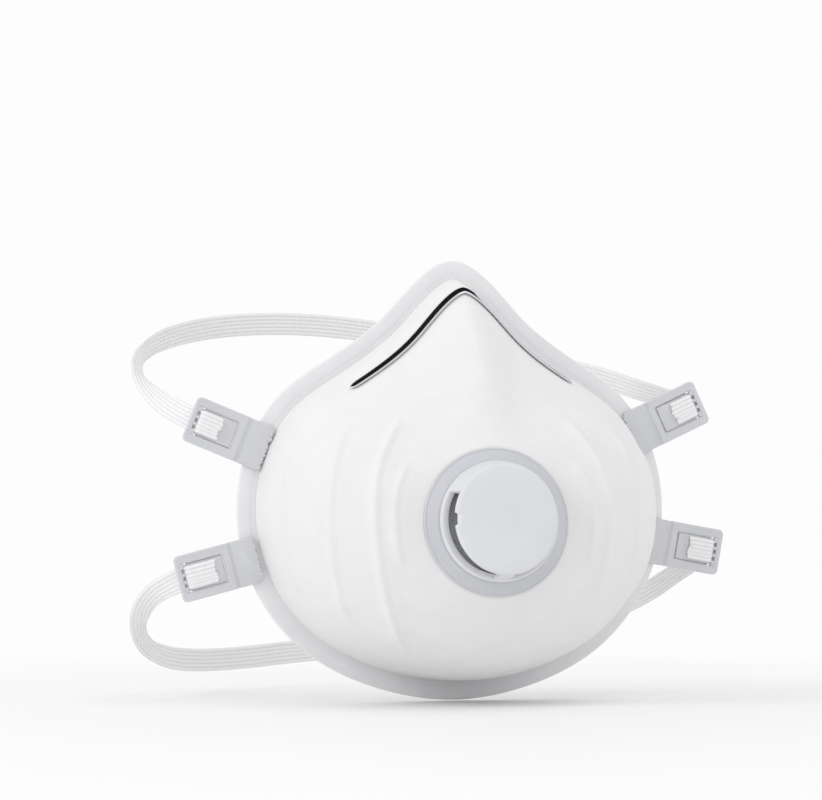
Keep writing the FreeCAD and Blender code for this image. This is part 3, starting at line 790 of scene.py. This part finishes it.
def roundProfile(corners, steps=4):  # corners: (radius, height, rounding)
    result, n = [], len(corners)
    for i, (r, h, soft) in enumerate(corners):
        here = np.array([r, h], float)
        if not soft:
            result.append(here)
            continue
        before = np.array(corners[i - 1][:2], float)
        after = np.array(corners[(i + 1) % n][:2], float)
        a = here + (before - here) * min(0.45, soft / np.linalg.norm(before - here))
        b = here + (after - here) * min(0.45, soft / np.linalg.norm(after - here))
        for k in range(steps + 1):
            s = k / steps
            result.append(a * (1 - s) ** 2 + here * 2 * s * (1 - s) + b * s ** 2)
    return result


def revolved(profile, around=192):
    angles = 2 * math.pi * np.arange(around) / around
    points = [(r * math.cos(a), r * math.sin(a), h) for r, h in profile for a in angles]
    return points, gridFaces(len(profile), around, True, True)


def softBar(start, length, width, low, high, angle, soft=0.15):
    outline = [(-width / 2, low), (width / 2, low), (width / 2, high - soft), (width / 2 - soft, high),
               (-width / 2 + soft, high), (-width / 2, high - soft)]
    ahead, aside = (math.cos(angle), math.sin(angle)), (-math.sin(angle), math.cos(angle))
    return stacked([[(x * ahead[0] + y * aside[0], x * ahead[1] + y * aside[1], z) for y, z in outline]
                    for x in (start, length)])


def valveBase():
    v = valve
    neck, base, collar, bead, top = [
        v[key] for key in ("neckRadius", "baseRadius", "collar", "beadRadius", "beadTop")]
    inner, low, ledge = neck - v["neckWall"], v["floorLow"], v["floorTop"]
    profile = roundProfile([
        (inner, -v["neckDepth"], 0.3), (neck, -v["neckDepth"], 0.3), (neck, 0.1, 0.0), (base, 0.1, 0.15),
        (base, 0.75, 0.25), (base - 0.35, 0.95, 0.15), (base - 0.7, 0.85, 0.15), (collar + 0.25, 2.3, 0.4),
        (collar - 1.6, 2.4, 0.2), (collar - 1.6, ledge, 0.2), (bead + 0.6, ledge, 0.3), (bead, top, 0.2),
        (bead - 1.0, top, 0.2), (bead - 1.4, low, 0.2), (inner, low, 0.2),
    ])
    hub = roundProfile([
        (1.02, low, 0.1), (v["hub"], low, 0.2), (v["hub"], top - 0.4, 0.25), (1.02, top - 0.4, 0.1)])
    parts = [revolved(profile, 224), revolved(hub, 64)]
    for r in v["ridges"]:  # fine moulded rings on the floor, seen through the vents
        parts.append(revolved(roundProfile([
            (r - 0.2, ledge - 0.1, 0.0), (r + 0.2, ledge - 0.1, 0.0), (r + 0.16, ledge + 0.55, 0.1),
            (r - 0.16, ledge + 0.55, 0.1)])))
    for i in range(4):
        angle = math.radians(45 + 90 * i)
        parts.append(softBar(1.6, bead - 0.8, v["spokeWidth"], low, ledge + 0.6, angle))
    points, faces = joined(parts)
    return finishMesh("valveSeat", toValve(points), faces, shadedBasePlastic, 40)


def valveCap():
    v = valve
    # rows up the wall: (outer radius, outer height, inner radius, inner height)
    low, high, front, wall = v["ventLow"], v["ventHigh"], v["front"], v["wall"]
    collar, face, ceiling = v["collar"], v["face"], front - wall
    rows = [(collar - 0.05, 2.5, collar - wall, 2.5), (collar, 2.75, collar - wall, 2.75),
            (collar, 3.9, collar - wall, 3.9), (collar - 0.1, 4.2, collar - wall, 4.2),
            (collar - 0.35, 4.42, collar - v["ledge"], 4.3), (collar - 0.42, low, collar - v["ledge"], low)]
    for h in (4.9, 5.8, 7.0, 8.1, 9.2, high):
        r = collar - 0.3 - v["slope"] * (h - 4.2)
        rows.append((r, h, r - wall, h))
    rows += [(face + 0.42, front - 1.05, face - 0.9, ceiling - 0.12)]
    rows += [(face + grown, front - drop, face - inset, ceiling) for grown, drop, inset in (
        (0.3, 0.65, 1.3), (0.12, 0.32, 1.7), (-0.15, 0.1, 2.0), (-0.5, 0.0, 2.4))]
    rows += [(r, front, r, ceiling) for r in (9.0, 4.5, 0.0)]
    around, count = 360, len(rows)
    outer, inner = [], []
    for ro, ho, ri, hi in rows:
        for k in range(around):
            a = math.radians(k)
            near = min(1, max(0, v["notchHalf"] + 0.5 - abs(k - 180))) if ho >= high and ro > face - 1 else 0
            tall = 1 + v["taller"] * min(1, max(0, (ho - 5) / 5))
            outer.append(((ro - v["notchDepth"] * near) * math.cos(a), (ro * tall - near) * math.sin(a), ho))
            inner.append((ri * math.cos(a), ri * math.sin(a), hi))
    total = len(outer)
    heights = [row[1] for row in rows]
    openRows = range(heights.index(low), heights.index(high))
    span = v["ventEnd"] - v["ventStart"]
    openSteps = {(start + i) % around for start in (v["ventStart"], 180 - v["ventEnd"]) for i in range(span)}

    def isOpen(row, k):
        return row in openRows and k % around in openSteps

    faces = []
    for row in range(count - 1):
        for k in range(around):
            n = (k + 1) % around
            a, b, c, d = row * around + k, row * around + n, (row + 1) * around + n, (row + 1) * around + k
            if not isOpen(row, k):
                faces += [[a, b, c, d], [total + a, total + d, total + c, total + b]]
                continue
            beside = ((row - 1, k, a, b), (row + 1, k, c, d), (row, k - 1, d, a), (row, k + 1, b, c))
            for nextRow, nextK, i, j in beside:
                if not isOpen(nextRow, nextK):
                    faces.append([i, j, total + j, total + i])
    for k in range(around):
        n = (k + 1) % around
        faces.append([k, total + k, total + n, n])
    return finishMesh("valveCap", toValve(outer + inner), faces, valvePlastic)


def soften(piece, width):  # a moulded edge radius
    modifier = piece.modifiers.new("soften", "BEVEL")
    modifier.width = width * mm
    modifier.segments = 2
    modifier.limit_method = "ANGLE"
    modifier.angle_limit = math.radians(40)
    modifier.harden_normals = False
    made = baked(piece)
    piece.modifiers.clear()
    old = piece.data
    piece.data = made
    bpy.data.meshes.remove(old)
    made.set_sharp_from_angle(angle=math.radians(50))
    return piece


valveMatrix = Matrix((
    (1, valveUp[0], valveAxis[0], cupMiddle[0] * mm), (0, valveUp[1], valveAxis[1], cupMiddle[1] * mm),
    (0, valveUp[2], valveAxis[2], cupMiddle[2] * mm), (0, 0, 0, 1)))

settle(valveBase(), "mask_body", "valve_plastic", "valve_base")
settle(soften(valveCap(), 0.12), "mask_body", "valve_plastic", "valve_cover")
span = math.radians(valve["ventEnd"] - valve["ventStart"])
for label, start in (("Left", valve["ventStart"]), ("Right", 180 - valve["ventEnd"])):
    louvres = grow("ventLouvres" + label, barTree, {
        "count": valve["bars"], "radius": 12.3 * mm, "start": math.radians(start) + span / valve["bars"] / 2,
        "step": span / valve["bars"], "height": 8.15 * mm, "bar": (1.0 * mm, 0.5 * mm, 5.0 * mm),
        "material": valvePlastic})
    louvres.data.transform(valveMatrix)
    settle(louvres, "mask_body", "valve_plastic", "valve_cover")
clampPoints, clampFaces = revolved(roundProfile([
    (13.3, -5.2, 0.2), (17.0, -5.2, 0.5), (18.6, -4.2, 0.4), (18.6, -3.4, 0.15), (13.3, -3.4, 0.1)]))
clampPiece = finishMesh("valveClamp", toValve(clampPoints), clampFaces, valvePlastic, 40)
settle(clampPiece, "mask_body", "valve_plastic", "valve_retainer")
for node, material in (("valve_membrane", membraneRubber), ("membrane_pin", valvePlastic)):
    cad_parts[node].data.materials.clear()
    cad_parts[node].data.materials.append(material)
print("valve made")


buckle = {
    "length": 24.6, "width": 13.7, "plateEnd": 16.5, "corner": 1.5, "windowStart": 1.5, "windowEnd": 14.4,
    "windowWidth": 8.6, "tabStart": 18.3, "flapStart": 3.3, "flapEnd": 13.9, "flapWidth": 7.8,
    "teeth": [(-3.48, 1.66), (-1.05, 1.0), (1.05, 1.0), (3.48, 1.66)],
    # edge profiles: (distance in from the outline, or out past the window, and height)
    "plateRim": [(0.25, 0.0), (0.0, 0.25), (0.0, 1.15), (0.08, 1.33), (0.25, 1.4), (0.5, 1.4), (0.62, 1.36)],
    "windowRim": [(0.3, 1.36), (0.12, 1.34), (0.03, 1.2), (0.0, 1.0), (0.0, 0.2), (0.15, 0.0)],
    "toothRim": [(0.0, 0.1), (0.0, 1.15), (0.15, 1.32)],
    "tabRim": [(0.2, 0.05), (0.0, 0.25), (0.0, 0.8), (0.1, 1.02), (0.3, 1.15), (0.6, 1.2)],
    "flapRim": [(-0.2, 0.2), (-0.3, 0.3), (-0.3, 0.5), (0.0, 0.6), (0.0, 1.0), (0.08, 1.14), (0.2, 1.2)],
    "foldStart": 16.2, "foldLength": 2.4, "foldDip": 0.38, "foldHigh": 1.39, "foldFall": 0.2, "foldLow": 0.05,
    "strapEnds": {"upper_left": 9.3, "upper_right": 9.8, "lower_left": 11.3, "lower_right": 10.4},
    "places": {"upper_left": (-79.5, 83.0, 22.0), "upper_right": (77.4, 88.9, 25.0),
               "lower_left": (-82.9, 35.8, -14.5), "lower_right": (83.4, 43.0, -10.0)},
}


def buckleAxes(name):
    x, z, tip = buckle["places"][name]
    side, tilt = (1 if x > 0 else -1), math.radians(tip)
    inward = np.array([-side * math.cos(tilt), 0, -math.sin(tilt)])
    front = np.array([0, -1, 0])
    return np.array([x, cup["rimFront"], z]), inward, np.cross(front, inward), front


def toBuckle(name, points):
    origin, *axes = buckleAxes(name)
    return origin + np.asarray(points, float) @ np.array(axes)


def moulded(kind, name, body, *parts):  # one closed plastic piece of a buckle
    points, faces = joined(parts)
    piece = finishMesh("buckle" + kind + "_" + name, toBuckle(name, points), faces, bucklePlastic, 45)
    return settle(piece, body, "buckle_plastic", "buckle_" + kind.lower() + "_" + name)


def roundRect(s0, s1, width, corner, height, innerCorner=None, perSide=14, perCorner=6):  # matching loops
    half = width / 2
    inner = corner if innerCorner is None else innerCorner
    points = []
    corners = [(s1 - inner, half - inner, 0, inner), (s0 + corner, half - corner, 90, corner),
               (s0 + corner, -half + corner, 180, corner), (s1 - inner, -half + inner, 270, inner)]
    for i, (cs, ct, start, radius) in enumerate(corners):
        for k in range(perCorner + 1):
            a = math.radians(start + 90 * k / perCorner)
            points.append((cs + radius * math.cos(a), ct + radius * math.sin(a), height))
        ns, nt, nextStart, nextRadius = corners[(i + 1) % 4]
        a = math.radians(nextStart)
        endPoint = (ns + nextRadius * math.cos(a), nt + nextRadius * math.sin(a), height)
        last = points[-1]
        for k in range(1, perSide):
            points.append(tuple(last[j] + (endPoint[j] - last[j]) * k / perSide for j in range(3)))
    return points


def shifted(solid, t):
    return [(s, y + t, n) for s, y, n in solid[0]], solid[1]


def ragged(t, phase):  # how far the weld squeezed the tab's end out
    return 0.3 * math.sin(2.7 * t + phase) + 0.2 * math.sin(6.1 * t)


def foldSections(b):  # the living hinge between plate and tab: cross-sections along its soft groove
    half, sections = b["width"] / 2 - 0.02, []
    for share in np.arange(21) / 20:
        s, dip = b["foldStart"] + share * b["foldLength"], math.sin(math.pi * share) ** 2
        high = b["foldHigh"] - b["foldFall"] * share - b["foldDip"] * dip
        low = b["foldLow"] + 0.2 * dip
        right = [(half - 0.2, low), (half, low + 0.2), (half, high - 0.25), (half - 0.08, high - 0.07),
                 (half - 0.25, high)]
        sections.append([(s, t, n) for t, n in right + [(0, high)] + [(-t, n) for t, n in right[::-1]]])
    return sections


def makeBuckle(name):
    b, body = buckle, "buckle_" + name
    order = list(b["places"]).index(name)
    phase = 2.0 * order
    origin, inward, across, front = buckleAxes(name)

    loops = [roundRect(inset, b["plateEnd"], b["width"] - 2 * inset, b["corner"] - inset, h, 0.2)
             for inset, h in b["plateRim"]]
    loops += [roundRect(b["windowStart"] - grown, b["windowEnd"] + grown, b["windowWidth"] + 2 * grown,
                        0.3 + grown, h) for grown, h in b["windowRim"]]
    floor = stacked([roundRect(1.2, 2.25, b["windowWidth"], 0.15, h) for h in (0.02, 0.16)])
    # the teeth leave three short pockets between the plate's end and the strap
    teeth = [shifted(stacked([roundRect(1.2, 2.5 - trim, wide - trim, 0.15, h)
                              for trim, h in b["toothRim"]]), t) for t, wide in b["teeth"]]
    moulded("Plate", name, body, stacked(loops, True), floor, *teeth)

    loops = []
    for inset, h in b["tabRim"]:
        loop = roundRect(b["tabStart"], b["length"] - inset, b["width"] - 2 * inset, 0.2, h, 1.2 - inset, 40)
        loops.append([(s + ragged(t, phase) * (s > b["length"] - 1.3), t, n) for s, t, n in loop])
    moulded("Tab", name, "mask_body", stacked(loops))

    points, faces = stacked(foldSections(b))
    web = finishMesh("buckleFold_" + name, toBuckle(name, points), faces, bucklePlastic, 45)
    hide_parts("buckle_tab_" + name)
    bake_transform(web)

    marks = grow("buckleWeld_" + name, markTree, {
        "count": 10, "length": 0.0114, "wander": 0.0005, "seed": 3 + order,
        "mark": (0.0012, 0.0010, 0.0004), "material": bucklePlastic})
    spot = origin + inward * (b["length"] - 0.9) + front * 1.04
    rows = [[inward[i], across[i], front[i], spot[i] * mm] for i in range(3)]
    marks.data.transform(Matrix(rows + [[0, 0, 0, 1]]))
    settle(marks, "mask_body", "buckle_plastic", "buckle_tab_" + name)

    loops = [roundRect(b["flapStart"], b["flapEnd"] - inset, b["flapWidth"] - 2 * inset, 0.2, h)
             for inset, h in b["flapRim"]]
    hingeBar = stacked([roundRect(2.05, b["flapStart"] + 0.6, 0.38, 0.1, h) for h in (0.45, 0.95)])
    arms = [shifted(hingeBar, side * (b["flapWidth"] / 2 - 0.19)) for side in (-1, 1)]
    moulded("Flap", name, "flap_" + name, stacked(loops), *arms)

    line = [(2.75, -1.3), (2.75, -0.7), (2.75, 0.0), (2.75, 0.6)]  # up through the slot and over the edge
    line += [(3.75 - math.cos(a), 0.75 + 0.95 * math.sin(a)) for a in np.linspace(0, math.pi / 2, 9)]
    line += [(s, 1.7) for s in np.linspace(4.2, b["strapEnds"][name], 22)]
    places = toBuckle(name, [(s, 0, n) for s, n in line]) * mm
    end = ribbedBand("strapEnd_" + name, places, np.tile(across, (len(places), 1)), strapEnd, strapElastic)
    for vertex in end.data.vertices:  # the cut end frays, each rib a little longer or shorter
        spot = np.array(vertex.co) / mm - origin
        if spot @ inward > b["strapEnds"][name] - 0.3:
            t = float(spot @ across)
            fray = 0.14 * math.cos(t * 4.6 + phase) + 0.25 * math.sin(t * 1.3 + phase)
            vertex.co += Vector(inward) * fray * mm
    settle(end, "flap_" + name, "strap_elastic", "strap_end_" + name)


for name in buckle["places"]:
    makeBuckle(name)
print("buckles made")


viewLayer.update()
